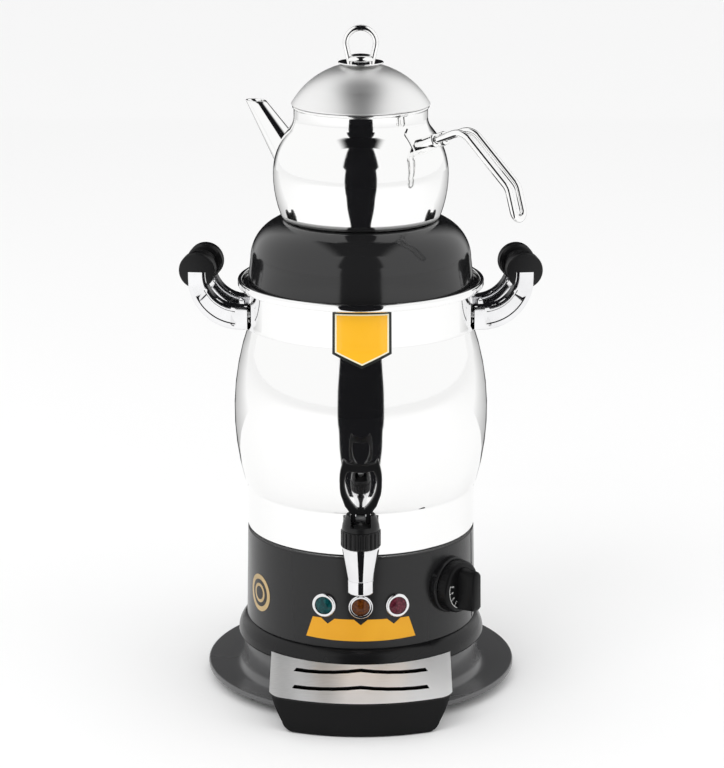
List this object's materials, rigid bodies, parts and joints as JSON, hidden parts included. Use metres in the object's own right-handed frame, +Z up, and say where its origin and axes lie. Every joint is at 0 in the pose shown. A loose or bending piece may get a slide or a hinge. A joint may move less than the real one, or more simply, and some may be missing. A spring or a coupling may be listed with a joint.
{
  "type": "electric samovar",
  "caption": "Free-standing electric samovar with a steel urn, lever tap, drip tray and thermostat, and a steel teapot on its domed cover.",
  "frame": {"origin": "on the samovar's vertical axis, at the level of the table under its rubber feet", "axes": "+Z is up; -Y is the front, towards the tap and the drip tray; +X is to the right seen from the front"},
  "size_m": [0.2772, 0.2697, 0.5097],
  "materials": {
    "black_enamel": "glossy stove enamel",
    "galvanised_sheet": "galvanised",
    "black_rubber": "matt moulded",
    "screw_steel": "zinc plated",
    "black_plastic": "moulded, half gloss",
    "chrome_plate": "bright plated",
    "green_lens": "clear tinted, unlit",
    "amber_lens": "clear tinted, unlit",
    "red_lens": "clear tinted, unlit",
    "case_plastic": "moulded, matt",
    "polished_steel": "mirror polished stainless",
    "satin_steel": "brushed stainless",
    "heater_steel": "dull, heat tinted",
    "nut_brass": "turned",
    "seal_rubber": "silicone, matt"
  },
  "bodies": {
    "boiler": {"base_plate": "black_enamel", "bottom_cover": "galvanised_sheet", "rubber_feet": "black_rubber", "foot_screws": "screw_steel", "base_collar": "black_plastic", "lower_housing": "black_enamel", "lamp_bezels": "chrome_plate", "lamp_nuts": "black_plastic", "lamp_lens_green": "green_lens", "lamp_lens_amber": "amber_lens", "lamp_lens_red": "red_lens", "thermostat_bezel": "black_plastic", "thermostat_body": "case_plastic", "cable_gland": "black_plastic", "gland_nut": "black_plastic", "terminal_block": "case_plastic", "urn_body": "polished_steel", "urn_floor": "polished_steel", "tie_rods": "screw_steel", "tie_rod_nuts": "screw_steel", "heating_element": "heater_steel", "heater_nuts": "nut_brass", "heater_gaskets": "seal_rubber", "safety_limiter": "case_plastic", "tap_body": "chrome_plate", "tap_washers": "seal_rubber", "tap_nut": "nut_brass", "tap_collar": "black_plastic", "tap_bonnet": "black_plastic", "closing_spring": "screw_steel", "left_handle_arms": "chrome_plate", "left_grip": "black_plastic", "right_handle_arms": "chrome_plate", "right_grip": "black_plastic", "grip_rods": "screw_steel", "arm_screws": "screw_steel"},
    "tray": {"drip_tray": "black_plastic"},
    "plate": {"drip_grille": "satin_steel"},
    "stem": {"valve_stem": "screw_steel", "lever_pin": "screw_steel", "valve_washer": "seal_rubber"},
    "lever": {"tap_lever": "black_plastic"},
    "knob": {"thermostat_knob": "black_plastic", "thermostat_shaft": "screw_steel"},
    "cover": {"dome_cover": "black_enamel"},
    "teapot": {"teapot_base": "polished_steel", "teapot_spout": "polished_steel", "teapot_body": "polished_steel", "handle_bracket": "polished_steel", "teapot_handle": "polished_steel"},
    "lid": {"teapot_lid": "satin_steel", "lid_ring": "polished_steel", "lid_screw": "screw_steel"}
  },
  "joints": [
    {"name": "tray_pull", "type": "slide", "parent": "boiler", "child": "tray", "axis": [0, -1, 0], "range_m": [0, 0.08]},
    {"name": "plate_lift", "type": "slide", "parent": "tray", "child": "plate", "axis": [0, 0, 1], "range_m": [0, 0.03]},
    {"name": "stem_lift", "type": "slide", "parent": "boiler", "child": "stem", "axis": [0, 0, 1], "range_m": [0, 0.0032], "stiffness_N_per_m": 600, "deforming": ["closing_spring"]},
    {"name": "lever_tilt", "type": "hinge", "parent": "stem", "child": "lever", "pos_m": [0, -0.135, 0.168], "axis": [1, 0, 0], "range_deg": [0, 40]},
    {"name": "knob_turn", "type": "hinge", "parent": "boiler", "child": "knob", "pos_m": [0.06787, -0.05695, 0.09], "axis": [0.766, -0.6428, 0], "range_deg": [-270, 0]},
    {"name": "cover_lift", "type": "slide", "parent": "boiler", "child": "cover", "axis": [0, 0, 1], "range_m": [0, 0.06]},
    {"name": "teapot_lift", "type": "slide", "parent": "cover", "child": "teapot", "axis": [0, 0, 1], "range_m": [0, 0.1]},
    {"name": "lid_lift", "type": "slide", "parent": "teapot", "child": "lid", "axis": [0, 0, 1], "range_m": [0, 0.06]}
  ],
  "couplings": [
    {"joint": "lever_tilt", "follows": "stem_lift", "rad_per_m": 218}
  ]
}
